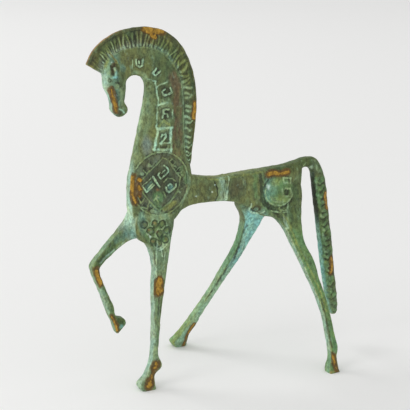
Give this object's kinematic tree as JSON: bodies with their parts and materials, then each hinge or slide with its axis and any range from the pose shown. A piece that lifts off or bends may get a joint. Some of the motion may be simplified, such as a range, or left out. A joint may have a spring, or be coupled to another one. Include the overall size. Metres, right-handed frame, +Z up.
{
  "type": "bronze horse sculpture",
  "caption": "Stylised bronze horse in the early Greek manner, walking with a foreleg raised, tall arched crest, carved neck and breast, long plaited tail.",
  "frame": {"origin": "on the ground plane under the middle of the figure's bounding box", "axes": "+Z up, the horse faces -X, its near side faces -Y"},
  "size_m": [0.162, 0.0874, 0.2001],
  "materials": {
    "bronze": "green and brown patina, rubbed to bright bronze on high edges"
  },
  "bodies": {
    "root": {"horse": "bronze"}
  },
  "joints": []
}
